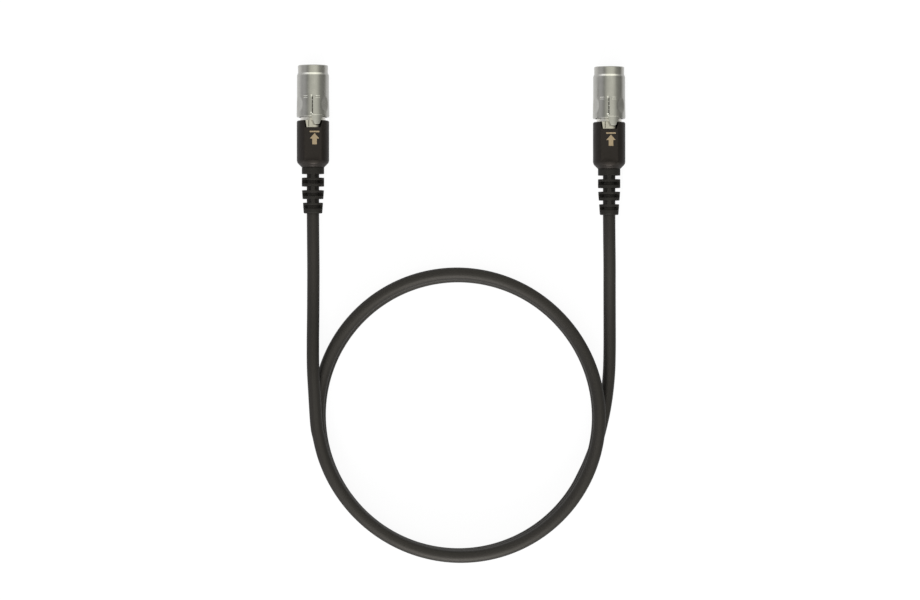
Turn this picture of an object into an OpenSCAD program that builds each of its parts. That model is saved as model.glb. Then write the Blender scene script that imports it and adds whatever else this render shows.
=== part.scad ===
// Round multi-core lead with a push-pull plug on each end, laid in flat loops.
// Both plugs lie side by side with their noses toward +Y. +Z is up and the table is at z = 0.
// Inside a plug, z runs back from the nose tip toward the cable, +x is to the right and +y is up.

/* [Cable] */
// Outer diameter of the jacket
cable_d = 6.35; // [5.6:0.05:7]
// Wall of the jacket round the conductors
jacket_wall = 0.75; // [0.5:0.05:0.9]
// Air left between turns that lie on each other
turn_gap = 0.55; // [0.5:0.01:1.2]
// Radius of the first turn at the cable's centreline
loop_r = 72.1; // [70:0.1:74]
// How much wider each turn lies than the one under it
turn_growth = 0.6; // [0:0.1:1]
// How far each turn leans toward the plugs over the one under it
turn_lean = 0.6; // [0:0.1:1]
// How much more oval each turn lies than the one under it
turn_oval = 0.3; // [0:0.1:0.6]
// Whole turns between the two ends, besides the lower arc that joins the legs
full_turns = 2; // [1:1:2]

/* [Plugs] */
// Distance between the axes of the two plugs
plug_spread = 154; // [150:0.5:158]
// How much lower the right plug lies than the left one
plug_drop = 0.8; // [0:0.1:3]
// How far the left plug is turned on its axis, to the right as seen from above
left_turn = 2; // [-6:0.5:6]
// How far the right plug is turned on its axis, to the right as seen from above
right_turn = -2; // [-6:0.5:6]

/* [Nose] */
// Diameter of the barrel, round which the other pieces are built up
barrel_d = 12.2; // [11.8:0.1:13]
// Wall of the barrel
barrel_wall = 0.8; // [0.6:0.05:1]
// Height of the step from the barrel up to the guiding land
land_step = 0.95; // [0.8:0.05:1.1]
// Height of the step from the land up to the ring that enters the socket
ring_step = 0.75; // [0.6:0.05:0.85]
// Length of that ring
ring_len = 4.2; // [3.8:0.1:5]
// Length of the guiding land behind the ring
land_len = 7.6; // [7.2:0.1:8.4]
// Wall of the well that holds the contacts
well_wall = 0.75; // [0.6:0.05:0.85]
// Wall between the well and the rear end of the land
well_floor = 0.75; // [0.5:0.05:1]
// Width of the key rib in the well
key_w = 1.6; // [1:0.1:2.4]
// Height of the key rib
key_h = 0.9; // [0.5:0.1:1.2]

/* [Latch] */
// Thickness of the latch spring
latch_t = 0.28; // [0.2:0.02:0.32]
// Width of a latch finger
latch_w = 2; // [1.2:0.1:3]
// Length of the band that joins the fingers
latch_band_len = 2; // [1.2:0.1:2.4]
// Distance from the band to the rear end of the land
latch_inset = 2.2; // [1.6:0.1:2.8]
// Width of the gap that lets the band open
latch_slit = 1; // [0.6:0.1:1.6]
// Length of a latch tooth
tooth_len = 1.3; // [0.8:0.1:1.8]
// Distance from the front of a tooth to the rear end of the ring
tooth_inset = 2.4; // [2:0.1:2.8]

/* [Contacts] */
// Number of contact pins
pin_count = 8; // [4:1:8]
// Diameter of a pin
pin_d = 1; // [0.8:0.05:1.2]
// Diameter of the circle that the pins stand on
pin_circle_d = 7.2; // [6.6:0.1:7.8]
// Length of the insulator's flange in the well
flange_len = 1.55; // [1:0.05:2]
// Free length of a pin in front of the insulator
pin_reach = 4.5; // [3:0.1:5]
// Length of the solder tail behind the insulator
pin_tail = 2; // [1:0.1:3]
// Length of the insulator
insulator_len = 9.5; // [7:0.1:11]
// Diameter of a conductor over its insulation
wire_d = 1; // [0.7:0.05:1.2]

/* [Sleeve] */
// Wall of the locking sleeve in front
sleeve_wall = 1.05; // [0.9:0.05:1.2]
// How much the sleeve's radius grows toward its rear rim
sleeve_flare = 0.2; // [0.15:0.05:0.4]
// Length of the sleeve without its tongue
sleeve_len = 22.6; // [21:0.1:24]
// Length of the straight front part before the flare
sleeve_straight = 11.2; // [9:0.1:13]
// How far the sleeve slides back to free the latch
sleeve_travel = 1.5; // [0.8:0.1:1.8]
// Length of the inner lip that stops the sleeve
lip_len = 1; // [0.6:0.1:1.6]
// Running clearance round the sleeve
slide_gap = 0.2; // [0.15:0.01:0.25]
// Distance from the middle of the grip dimples to the rear edge
dimple_inset = 6.7; // [6:0.1:7.2]
// Angle from the seam round to the nearest dimple
dimple_turn = 51; // [49:0.5:56]
// Length of the grip dimples
dimple_len = 7.9; // [6:0.1:8.8]
// Depth of the grip dimples
dimple_depth = 0.6; // [0.3:0.02:0.7]
// Angle from the top round to the seam
seam_turn = 2; // [0:0.5:5]
// Distance from the seam slot to the rear edge
seam_inset = 1.6; // [1.4:0.1:2.2]
// Length of the seam slot
seam_len = 9.1; // [6:0.1:9.5]
// Width of the seam slot
seam_w = 0.6; // [0.4:0.05:1]
// Width of the two pressed windows
window_w = 2.3; // [1.4:0.1:2.6]
// Length of a pressed window along the plug
window_len = 0.8; // [0.4:0.05:1.2]
// Depth of a pressed window
window_depth = 0.4; // [0.2:0.05:0.6]
// Distance of a pressed window from the seam
window_x = 3.2; // [2.6:0.1:3.6]
// How far in front of the seam slot the pressed windows start
window_lead = 0.1; // [0:0.05:0.6]
// Length of the tongue behind the rim
tongue_len = 3.7; // [2.6:0.1:5]
// Width of the tongue at the rim
tongue_root_w = 5.2; // [4:0.1:5.4]
// Width of the tongue at its tip
tongue_tip_w = 2.7; // [2:0.1:3.4]
// Distance of the tongue's middle to the right of the axis
tongue_x = 2.1; // [2:0.1:2.6]

/* [Spring] */
// Diameter of the return spring's wire
spring_wire = 0.5; // [0.35:0.05:0.5]
// Number of coils in the return spring
spring_turns = 5; // [3:1:7]

/* [Rear shell] */
// How far in front of the sleeve's rear edge the collar starts
collar_inset = 2.6; // [2.2:0.1:3]
// Length of the collar that guides the sleeve
collar_len = 1.2; // [0.8:0.1:1.6]
// How far the barrel reaches past the collar
barrel_seat = 1; // [0.4:0.1:4]
// Wall of the rear shell
shell_wall = 0.35; // [0.3:0.05:0.45]
// Length of the rear shell behind the sleeve
shell_len = 10; // [8:0.1:12]
// Length of the barrel crimped on the jacket
crimp_len = 9; // [6:0.1:10]
// Thickness of the floor that closes the rear shell
shell_floor = 1; // [0.6:0.1:1.4]
// Wall of the crimp barrel
crimp_wall = 1; // [0.6:0.05:1.4]
// How proud the flat clamp wings stand of the rear shell
wing_t = 0.45; // [0.2:0.05:0.5]
// How far the left wing reaches to the left of the axis
wing_left = 3.8; // [3.4:0.1:4.2]
// How far the left wing narrows toward its rear end
wing_slant = 0.6; // [0.4:0.1:1.2]
// Distance of the seam between the wings to the left of the axis
wing_seam_x = 2.1; // [1.6:0.1:2.3]
// Width of that seam
wing_seam_w = 0.35; // [0.2:0.05:0.5]
// Gap between the right wing and the tongue, as seen from above
wing_gap = 0.35; // [0.2:0.05:0.5]
// Length of the foot that joins the wings
wing_foot = 1.1; // [0.6:0.1:1.4]

/* [Overmould] */
// Wall of the overmould round the rear shell
mould_wall = 1.9; // [1.8:0.02:1.94]
// Length of the overmould in front of its shoulder
mould_len = 20.5; // [19:0.1:24]
// Radius of the shoulder's rounding
shoulder_r = 2.9; // [1.5:0.1:4]
// Width of the flat that carries the direction mark
flat_w = 8.8; // [6:0.1:9.2]
// Room left in the notch beside the tongue
notch_gap = 0.4; // [0.3:0.05:0.6]
// Room left in the notch beside the left wing
notch_left = 0.7; // [0.4:0.05:0.9]

/* [Strain relief] */
// Diameter of the strain relief where it leaves the overmould
boot_d = 11.6; // [10.8:0.1:12]
// Diameter of the strain relief at the cable's exit
boot_tip_d = 9.7; // [8.8:0.1:10.4]
// Length of the strain relief in front of its taper
boot_straight = 10.9; // [8:0.1:13]
// Length of the stem that is moulded into the overmould
stem_len = 3; // [1.5:0.1:3.4]
// Length of its plain collar
boot_collar = 3.4; // [2:0.1:5]
// Distance from one side slot to the next
slot_pitch = 6.5; // [6:0.1:8]
// Width of a side slot
side_slot_w = 2; // [1.5:0.1:2.6]
// Width of a front slot
front_slot_w = 1.7; // [1:0.1:1.8]
// Distance from a side slot's front edge to the front slot behind it
slot_offset = 3.3; // [3:0.1:3.9]
// Number of slot pairs
slot_pairs = 3; // [2:1:4]
// Width of the bridges left across a slot
bridge_w = 2.1; // [1.5:0.1:3]
// Length of the plain end behind the last pair
boot_end_len = 1; // [0.8:0.1:3]

/* [Hidden] */
$fn = 72;

// Clearances and small edges
cut = 0.5;          // how far a cutter runs past what it cuts
fit_gap = 0.05;     // between pieces of one plug that seat in each other
pin_gap = 0.03;     // round a pin in the insulator
stop_gap = 0.2;     // left at the sleeve's front stops
end_gap = 0.2;      // left behind the sleeve and the tongue at full travel
spring_gap = 0.1;   // between the spring's ends and their seats
edge = 0.3;         // chamfer on turned edges
sleeve_chamfer = 0.5;
latch_sink = 0.02;  // how far the latch spring lies below the land
rim_len = 1;        // length of the chamfer on the sleeve's rear rim
mould_edge = 0.5;   // chamfer on the overmould's front edge
bond = 0.3;         // how far a rib is rooted in its wall
foot_step = 0.1;    // how much lower the wings' foot lies than the wings

// Radii of a plug, from the barrel outward, and of what lies round the jacket
barrel_r = barrel_d / 2;
bore_r = barrel_r - barrel_wall;
land_r = barrel_r + land_step;
ring_r = land_r + ring_step;
well_r = land_r - well_wall;
latch_r = land_r - latch_sink - latch_t - pin_gap;
sleeve_in_r = land_r + slide_gap;
sleeve_r = sleeve_in_r + sleeve_wall;
sleeve_rear_r = sleeve_r + sleeve_flare;
lip_r = barrel_r + slide_gap;
shell_in_r = barrel_r + fit_gap;
shell_r = shell_in_r + shell_wall;
wing_top = shell_r + wing_t;
foot_r = wing_top - foot_step;
mould_r = shell_r + mould_wall;
cable_r = cable_d / 2;
jacket_bore_r = cable_r + fit_gap;
crimp_r = jacket_bore_r + crimp_wall;
boot_r = boot_d / 2;
boot_tip_r = boot_tip_d / 2;
stem_r = (boot_r + jacket_bore_r) / 2;
pin_r = pin_d / 2;
pin_circle_r = pin_circle_d / 2;
wire_r = wire_d / 2;

// Places along a plug, counted back from the nose tip
ring_end = ring_len;
land_end = ring_end + land_len;
well_end = land_end - well_floor;
latch_band_start = land_end - latch_inset - latch_band_len;
tooth_start = ring_end - tooth_inset;
insulator_face = well_end - flange_len;
pin_start = insulator_face - pin_reach;
insulator_end = insulator_face + insulator_len;
pin_end = insulator_end + pin_tail;
sleeve_start = ring_end + stop_gap;
sleeve_end = sleeve_start + sleeve_len;
flare_start = sleeve_start + sleeve_straight;
lip_start = land_end + stop_gap;
lip_end = lip_start + lip_len;
collar_start = sleeve_end - collar_inset;
collar_end = collar_start + collar_len;
barrel_end = collar_end + barrel_seat;
tongue_end = sleeve_end + tongue_len;
mould_start = sleeve_end + sleeve_travel + end_gap;
notch_end = tongue_end + sleeve_travel + end_gap;
shell_end = sleeve_end + shell_len;
crimp_end = shell_end + crimp_len;
jacket_start = shell_end + crimp_len / 2;
shoulder_start = mould_start + mould_len;
shoulder_drop = mould_r - boot_r;
shoulder_slope = shoulder_drop - shoulder_r * (1 - cos(45));
boot_start = shoulder_start + shoulder_r * sin(45) + shoulder_slope;
slots_start = boot_start + boot_collar;
taper_start = boot_start + boot_straight;
boot_end = slots_start + slot_pairs * slot_pitch + boot_end_len;

// Dimples and seam of the sleeve
dimple_mid = sleeve_end - dimple_inset;
dimple_r = (pow(dimple_len / 2, 2) + pow(dimple_depth, 2)) / (2 * dimple_depth);
seam_start = sleeve_end - seam_inset - seam_len;
window_start = seam_start - window_lead;
window_floor_r = sleeve_r - window_depth;

// Wings in the notch, where the flats start and how high they lie over the axis
wing_start = mould_start;
wing_end = notch_end - fit_gap;
flat_start = notch_end - notch_gap;
flat_y = sqrt(pow(mould_r, 2) - pow(flat_w / 2, 2));

// Plugs on the table: the sleeves' rims touch it
axis_h = sleeve_rear_r;
plug_len = boot_end;
plug_x = plug_spread / 2;
left_tip_y = (plug_len + plug_drop) / 2;
right_tip_y = left_tip_y - plug_drop;

// The loops: angles run anticlockwise from +X, and the cable runs clockwise from the right leg
loop_centre = [-1.4, -143.65];
loop_start = -24;
loop_end = -172;
loop_sweep = full_turns * 360 + loop_start - loop_end;
rings_per_loop = 24;
loop_rings = round(loop_sweep * rings_per_loop / 360);
oval_angle = -52;
level_step = cable_d + turn_gap;
climb_start = 50;   // how far before the right leg a turn starts to climb over it
climb_sweep = 60;
loop_sides = 6;
leg_sides = 12;

// The legs from the strain relief to the loops: x, y and the share of the way from the plug's
// height to the height at which the loops take the cable
right_leg = [
    [77.1, -52, 0.03], [77.3, -65, 0.3], [77.4, -79, 0.72], [77.5, -94, 0.97],
    [77.5, -109, 1], [77.1, -122, 1], [75.7, -135.2, 1], [73.4, -147.2, 1], [70.3, -158.7, 1]
];
left_leg = [
    [-76.9, -52, 0], [-76.8, -65, -0.02], [-76.8, -79, 0.04], [-76.8, -92, 0.25],
    [-76.8, -105, 0.62], [-76.6, -118, 0.93], [-75.9, -131, 1]
];

function unit(v) = v / norm(v);
function sum(v, i = 0) = i < len(v) ? v[i] + sum(v, i + 1) : 0;
function ease(u) = let (c = min(max(u, 0), 1)) c * c * (3 - 2 * c);

// A point of the loops, sweep degrees on from where the right leg joins them
function loop_lift(sweep) = level_step * sum([
    for (k = [1 : full_turns])
        ease((sweep - 360 * k - loop_start + climb_start) / climb_sweep)
]);
function loop_radius(sweep) =
    let (angle = loop_start - sweep)
    loop_r + sweep / 360
        * (turn_growth + turn_lean * sin(angle) + turn_oval * cos(2 * (angle - oval_angle)));
function loop_point(sweep) =
    let (angle = loop_start - sweep, r = loop_radius(sweep))
    [
        loop_centre[0] + r * cos(angle),
        loop_centre[1] + r * sin(angle),
        cable_r + loop_lift(sweep)
    ];
function loop_points(count) = [for (i = [0 : count]) loop_point(i * loop_sweep / count)];

// Straight runs of one diameter at the two ends of the loops
loop_in = loop_point(0) - cable_d * unit(loop_point(1) - loop_point(0));
loop_out = loop_point(loop_sweep)
    + cable_d * unit(loop_point(loop_sweep) - loop_point(loop_sweep - 1));

// A leg: along the plug's axis to the exit, then along its own points to the loops
function leg_points(x, tip_y, route, joint) = concat(
    [for (z = [jacket_start, boot_start, boot_end]) [x, tip_y - z, axis_h]],
    [for (p = route) [p[0], p[1], axis_h + p[2] * (joint[2] - axis_h)]],
    [joint]
);
right_points = leg_points(plug_x, right_tip_y, right_leg, loop_in);
left_points = leg_points(-plug_x, left_tip_y, left_leg, loop_out);

// Least air between stretches of cable, measured from points to segments
function to_segment(p, a, b) =
    let (d = b - a, u = min(max((p - a) * d / (d * d), 0), 1))
    norm(p - a - u * d);
function between(p, q) = min([
    for (a = p, i = [0 : len(q) - 2]) to_segment(a, q[i], q[i + 1])
]) - cable_d;
measure_count = 2 * loop_rings;
half_turn = rings_per_loop;
measured = loop_points(measure_count);
function part_of(list, from, to) = [for (i = [from : to]) list[i]];
turn_air = min([
    for (i = [0 : measure_count - half_turn - 1])
        between([measured[i]], part_of(measured, i + half_turn, measure_count))
]);
right_air = between(part_of(measured, half_turn, measure_count), right_points);
left_air = between(part_of(measured, 0, measure_count - half_turn), left_points);
echo(least_air_between_turns = turn_air, to_right_leg = right_air, to_left_leg = left_air);

// ---- building blocks ----

// A tube swept through points, with flat ends square to its first and last runs
function tangents(p) = [
    for (i = [0 : len(p) - 1]) unit(p[min(i + 1, len(p) - 1)] - p[max(i - 1, 0)])
];
function section(c, t, up, r, sides) =
    let (side = unit(cross(t, up)), rise = cross(side, t))
    [for (k = [0 : sides - 1]) c + r * (cos(k * 360 / sides) * side + sin(k * 360 / sides) * rise)];

module swept_tube(p, r, sides, up = [0, 0, 1], first = undef, last = undef) {
    along = tangents(p);
    t = [
        for (i = [0 : len(p) - 1])
            i == 0 && first != undef ? first : i == len(p) - 1 && last != undef ? last : along[i]
    ];
    points = [for (i = [0 : len(p) - 1]) each section(p[i], t[i], up, r, sides)];
    end = (len(p) - 1) * sides;
    walls = [
        for (i = [0 : len(p) - 2], k = [0 : sides - 1])
            let (a = i * sides + k, b = i * sides + (k + 1) % sides)
            each [[a, b, b + sides], [a, b + sides, a + sides]]
    ];
    near_cap = [for (k = [sides - 1 : -1 : 0]) k];
    far_cap = [for (k = [0 : sides - 1]) end + k];
    polyhedron(points, concat(walls, [near_cap, far_cap]));
}

// A plain tube between two radii and two places along the plug
module band(outer, inner, from, to) {
    translate([0, 0, from])
    difference() {
        cylinder(r = outer, h = to - from);
        translate([0, 0, -cut])
        cylinder(r = inner, h = to - from + 2 * cut);
    }
}

// A prism over the top half of the plug, whose outline is given as x and place along the plug
module top_prism(outline) {
    translate([0, 2 * mould_r, 0])
    rotate([90, 0, 0])
    linear_extrude(height = 2 * mould_r)
    polygon(outline);
}

// Puts a plug where it lies, turned on its axis
module left_plug() {
    translate([-plug_x, left_tip_y, axis_h])
    rotate([90, 0, 0])
    rotate([0, 0, -left_turn])
    children();
}
module right_plug() {
    translate([plug_x, right_tip_y, axis_h])
    rotate([90, 0, 0])
    rotate([0, 0, -right_turn])
    children();
}

// ---- pieces of a plug ----

// Stepped metal shell: ring, guiding land and barrel, with the contact well and its key
module nose_shell() {
    color("silver")
    difference() {
        union() {
            rotate_extrude()
            polygon([
                [well_r + edge, 0], [ring_r - edge, 0], [ring_r, edge], [ring_r, ring_end],
                [land_r, ring_end], [land_r, land_end], [barrel_r, land_end],
                [barrel_r, barrel_end], [bore_r, barrel_end], [bore_r, well_end],
                [well_r, well_end], [well_r, edge]
            ]);
            translate([-key_w / 2, well_r - key_h, 2 * edge])
            cube([key_w, key_h + bond, insulator_face - 3 * edge]);
        }
        band(ring_r + cut, latch_r, latch_band_start - pin_gap,
             latch_band_start + latch_band_len + pin_gap);
        latch_bars(latch_r, ring_r + cut, tooth_start - pin_gap, latch_band_start,
                   latch_w + 2 * pin_gap);
    }
}

// Two bars on the plug's left and right, between two radii
module latch_bars(inner, outer, from, to, width) {
    intersection() {
        band(outer, inner, from, to);
        translate([-ring_r - cut, -width / 2, from])
        cube([2 * (ring_r + cut), width, to - from]);
    }
}

// Open spring band with two fingers that end in teeth, lying in its groove
module latch_ring() {
    seat = latch_r + pin_gap;
    color("lightgray")
    difference() {
        union() {
            band(seat + latch_t, seat, latch_band_start, latch_band_start + latch_band_len);
            latch_bars(seat, seat + latch_t, tooth_start, latch_band_start + edge, latch_w);
            latch_bars(seat, ring_r - fit_gap, tooth_start, tooth_start + tooth_len, latch_w);
        }
        translate([-latch_slit / 2, -ring_r, latch_band_start - cut])
        cube([latch_slit, ring_r, latch_band_len + 2 * cut]);
    }
}

// Moulded insert with a flange on the step of the well and a hole for each pin
module insulator() {
    color("dimgray")
    difference() {
        union() {
            translate([0, 0, insulator_face])
            cylinder(r = well_r - fit_gap, h = flange_len - fit_gap);
            translate([0, 0, insulator_face])
            cylinder(r = bore_r - fit_gap, h = insulator_len);
        }
        at_pins()
        translate([0, 0, insulator_face - cut])
        cylinder(r = pin_r + pin_gap, h = insulator_len + 2 * cut);
    }
}

module at_pins() {
    for (i = [0 : pin_count - 1])
        rotate([0, 0, (i + 0.5) * 360 / pin_count])
        translate([pin_circle_r, 0, 0])
        children();
}

// Round-nosed contact pins with their solder tails
module contact_pins() {
    color("goldenrod")
    at_pins() {
        translate([0, 0, pin_start + pin_r])
        sphere(r = pin_r, $fn = 24);
        translate([0, 0, pin_start + pin_r])
        cylinder(r = pin_r, h = pin_end - pin_start - pin_r);
    }
}

// Insulated conductors from the solder tails, drawn in to the end of the jacket
module conductors() {
    inner_r = cable_r - jacket_wall - wire_r;
    run = [
        [pin_circle_r, pin_end], [pin_circle_r, pin_end + wire_d],
        [inner_r, shell_end - 2 * wire_d], [inner_r, shell_end], [inner_r, jacket_start]
    ];
    color("firebrick")
    for (i = [0 : pin_count - 1]) {
        turn = (i + 0.5) * 360 / pin_count;
        swept_tube([for (p = run) [p[0] * cos(turn), p[0] * sin(turn), p[1]]],
                   wire_r, 6, [-sin(turn), cos(turn), 0]);
    }
}

// Sliding sleeve: chamfered front, flared rear, grip dimples, seam, pressed windows and tongue
module locking_sleeve() {
    color("gainsboro")
    difference() {
        union() {
            rotate_extrude()
            polygon([
                [sleeve_in_r, sleeve_start], [sleeve_r - sleeve_chamfer, sleeve_start],
                [sleeve_r, sleeve_start + sleeve_chamfer], [sleeve_r, flare_start],
                [sleeve_rear_r, sleeve_end - rim_len], [sleeve_rear_r - edge, sleeve_end],
                [sleeve_in_r, sleeve_end], [sleeve_in_r, lip_end], [lip_r, lip_end],
                [lip_r, lip_start], [sleeve_in_r, lip_start]
            ]);
            intersection() {
                band(sleeve_r, sleeve_in_r, sleeve_end - edge, tongue_end);
                top_prism(tongue_outline());
            }
        }
        for (turn = [-dimple_turn, dimple_turn, 180 - dimple_turn, 180 + dimple_turn])
            rotate([0, 0, 90 + seam_turn + turn])
            translate([sleeve_r - dimple_depth + dimple_r, 0, dimple_mid])
            sphere(r = dimple_r);
        rotate([0, 0, seam_turn]) {
            translate([-seam_w / 2, barrel_r, seam_start])
            cube([seam_w, sleeve_rear_r, seam_len]);
            for (side = [-1, 1])
                intersection() {
                    band(sleeve_rear_r + cut, window_floor_r, window_start, window_start + window_len);
                    translate([side * window_x - window_w / 2, 0, window_start - cut])
                    cube([window_w, 2 * sleeve_rear_r, window_len + 2 * cut]);
                }
        }
    }
}

function tongue_outline() = [
    [tongue_x - tongue_root_w / 2, sleeve_end - edge],
    [tongue_x + tongue_root_w / 2, sleeve_end - edge],
    [tongue_x + tongue_root_w / 2, sleeve_end],
    [tongue_x + tongue_tip_w / 2, tongue_end - edge],
    [tongue_x + tongue_tip_w / 2 - edge, tongue_end],
    [tongue_x - tongue_tip_w / 2 + edge, tongue_end],
    [tongue_x - tongue_tip_w / 2, tongue_end - edge],
    [tongue_x - tongue_root_w / 2, sleeve_end]
];

// Wound spring between the sleeve's lip and the rear shell's collar
module return_spring() {
    steps = 12;
    from = lip_end + spring_gap + spring_wire / 2;
    to = collar_start - spring_gap - spring_wire / 2;
    r = sleeve_in_r - slide_gap - spring_wire / 2;
    color("darkgray")
    swept_tube([
        for (i = [0 : spring_turns * steps])
            let (turn = i * 360 / steps)
            [r * cos(turn), r * sin(turn), from + (to - from) * i / (spring_turns * steps)]
    ], spring_wire / 2, 6);
}

// Drawn metal shell behind the sleeve: collar, clamp wings, floor and crimp barrel
module rear_shell() {
    color("silver") {
        rotate_extrude()
        polygon([
            [shell_in_r, collar_start], [land_r, collar_start], [land_r, collar_end],
            [shell_r, collar_end], [shell_r, shell_end], [crimp_r, shell_end],
            [crimp_r, crimp_end], [jacket_bore_r, crimp_end],
            [jacket_bore_r, shell_end - shell_floor],
            [shell_in_r, shell_end - shell_floor]
        ]);
        difference() {
            union() {
                intersection() {
                    translate([-2 * wing_left, 0, wing_start])
                    cube([4 * wing_left, wing_top, wing_end - wing_start]);
                    top_prism(wing_outline());
                }
                intersection() {
                    band(foot_r, shell_in_r, wing_end - wing_foot, wing_end);
                    top_prism(foot_outline());
                }
            }
            cylinder(r = shell_r - shell_wall / 2, h = shell_end);
            top_prism([
                [-wing_seam_x - wing_seam_w / 2, wing_start - cut],
                [-wing_seam_x + wing_seam_w / 2, wing_start - cut],
                [-wing_seam_x + wing_seam_w / 2, wing_end - edge],
                [-wing_seam_x - wing_seam_w / 2, wing_end - edge]
            ]);
        }
    }
}

// The right wing runs along the tongue's left edge, and the foot reaches on behind the tongue
function wing_outline() = [
    [-wing_left, wing_start], [tongue_x - tongue_root_w / 2 - wing_gap, wing_start],
    [tongue_x - tongue_tip_w / 2 - wing_gap, wing_end], [wing_slant - wing_left, wing_end]
];
function foot_outline() = [
    [0, wing_end - 2 * wing_foot], [tongue_x + tongue_tip_w / 2, wing_end - 2 * wing_foot],
    [tongue_x + tongue_tip_w / 2, wing_end + cut], [0, wing_end + cut]
];

// Moulded grip: round collar with the notch, flats, rounded shoulder, pockets for what it holds
module overmould() {
    arc_steps = 6;
    color([0.17, 0.16, 0.15])
    difference() {
        rotate_extrude()
        polygon(concat(
            [
                [stem_r + fit_gap, boot_start], [stem_r + fit_gap, boot_start - stem_len - fit_gap],
                [jacket_bore_r, boot_start - stem_len - fit_gap], [jacket_bore_r, crimp_end + fit_gap],
                [crimp_r + fit_gap, crimp_end + fit_gap], [crimp_r + fit_gap, shell_end + fit_gap],
                [shell_r + fit_gap, shell_end + fit_gap], [shell_r + fit_gap, mould_start],
                [mould_r - mould_edge, mould_start], [mould_r, mould_start + mould_edge]
            ],
            [
                for (i = [0 : arc_steps])
                    let (turn = 45 * i / arc_steps)
                    [
                        mould_r - shoulder_r * (1 - cos(turn)),
                        shoulder_start + shoulder_r * sin(turn)
                    ]
            ],
            [[boot_r, boot_start]]
        ));
        top_prism([
            [-wing_left - notch_left, mould_start - cut],
            [tongue_x + tongue_root_w / 2 + notch_gap, mould_start - cut],
            [tongue_x + tongue_tip_w / 2 + notch_gap, notch_end],
            [wing_slant - wing_left - notch_left, notch_end]
        ]);
        for (side = [0, 180])
            rotate([0, 0, side])
            translate([-mould_r, flat_y, flat_start])
            cube([2 * mould_r, mould_r, boot_start - flat_start]);
    }
}

// Tapered relief moulded round the jacket, with slots that turn by a quarter from one to the next
module strain_relief() {
    color([0.2, 0.19, 0.18])
    difference() {
        rotate_extrude()
        polygon([
            [jacket_bore_r, boot_start - stem_len], [stem_r, boot_start - stem_len],
            [stem_r, boot_start], [boot_r, boot_start], [boot_r, taper_start],
            [boot_tip_r, boot_end - edge], [boot_tip_r - edge, boot_end],
            [jacket_bore_r, boot_end]
        ]);
        for (i = [0 : slot_pairs - 1]) {
            relief_slot(slots_start + i * slot_pitch, side_slot_w, 0);
            relief_slot(slots_start + i * slot_pitch + slot_offset, front_slot_w, 90);
        }
    }
}

// A slot down to the jacket all round, but for two bridges across from each other
module relief_slot(from, width, turn) {
    rotate([0, 0, turn])
    difference() {
        band(boot_r + cut, jacket_bore_r - fit_gap, from, from + width);
        translate([-bridge_w / 2, -boot_r - 2 * cut, from - cut])
        cube([bridge_w, 2 * boot_r + 4 * cut, width + 2 * cut]);
    }
}

// ---- the cable ----

module cable_loops() {
    color([0.22, 0.21, 0.2])
    swept_tube(concat([loop_in], loop_points(loop_rings), [loop_out]), cable_r, loop_sides,
               [0, 0, 1], unit(loop_point(0) - loop_in), unit(loop_out - loop_point(loop_sweep)));
}

module right_cable_leg() {
    color([0.22, 0.21, 0.2])
    swept_tube(right_points, cable_r, leg_sides, [0, 0, 1], undef, unit(loop_point(0) - loop_in));
}

module left_cable_leg() {
    color([0.22, 0.21, 0.2])
    swept_tube(left_points, cable_r, leg_sides, [0, 0, 1], undef,
               unit(loop_point(loop_sweep) - loop_out));
}

left_plug() nose_shell();  // left_nose_shell
left_plug() insulator();  // left_insulator
left_plug() contact_pins();  // left_contact_pins
left_plug() latch_ring();  // left_latch_ring
left_plug() locking_sleeve();  // left_locking_sleeve
left_plug() return_spring();  // left_return_spring
left_plug() rear_shell();  // left_rear_shell
left_plug() conductors();  // left_conductors
left_plug() overmould();  // left_overmould
left_plug() strain_relief();  // left_strain_relief
right_plug() nose_shell();  // right_nose_shell
right_plug() insulator();  // right_insulator
right_plug() contact_pins();  // right_contact_pins
right_plug() latch_ring();  // right_latch_ring
right_plug() locking_sleeve();  // right_locking_sleeve
right_plug() return_spring();  // right_return_spring
right_plug() rear_shell();  // right_rear_shell
right_plug() conductors();  // right_conductors
right_plug() overmould();  // right_overmould
right_plug() strain_relief();  // right_strain_relief
left_cable_leg();
cable_loops();
right_cable_leg();
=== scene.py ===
"""Round multi-core lead with a push-pull plug on each end, laid in flat loops, dressed round its CAD frame.

Lengths are in metres. Inside a plug, `back` runs from the nose tip toward the cable, `across` to the
right and `up` away from the table, with the nose toward +Y.
"""

import math

import bmesh
import bpy
from bpy.props import FloatProperty, FloatVectorProperty, IntProperty, PointerProperty
from mathutils import Matrix, Vector


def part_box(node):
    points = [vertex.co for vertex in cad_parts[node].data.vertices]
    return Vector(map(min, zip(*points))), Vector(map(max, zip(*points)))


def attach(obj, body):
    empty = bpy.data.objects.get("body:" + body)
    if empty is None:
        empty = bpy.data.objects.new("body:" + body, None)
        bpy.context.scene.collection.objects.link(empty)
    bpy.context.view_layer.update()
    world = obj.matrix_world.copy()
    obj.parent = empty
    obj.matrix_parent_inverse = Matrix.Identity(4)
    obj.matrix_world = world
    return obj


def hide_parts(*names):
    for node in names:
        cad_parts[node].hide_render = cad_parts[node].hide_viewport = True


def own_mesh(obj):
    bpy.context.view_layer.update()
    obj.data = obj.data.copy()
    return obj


bl_info = {
    "name": "Push-pull lead",
    "version": (1, 0, 0),
    "blender": (4, 5, 0),
    "location": "3D View > Sidebar > Lead",
    "description": "Dresses a looped round lead and its two push-pull plugs",
    "category": "Object",
}

MM = 0.001
SIDES = ("left", "right")

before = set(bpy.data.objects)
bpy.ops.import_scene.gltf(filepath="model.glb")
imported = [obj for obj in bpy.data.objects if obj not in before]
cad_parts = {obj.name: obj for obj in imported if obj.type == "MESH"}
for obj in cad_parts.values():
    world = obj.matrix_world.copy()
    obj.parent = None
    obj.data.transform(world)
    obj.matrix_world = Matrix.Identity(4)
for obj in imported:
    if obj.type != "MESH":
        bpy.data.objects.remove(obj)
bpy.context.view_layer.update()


# ---- sizes and colours ----

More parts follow.
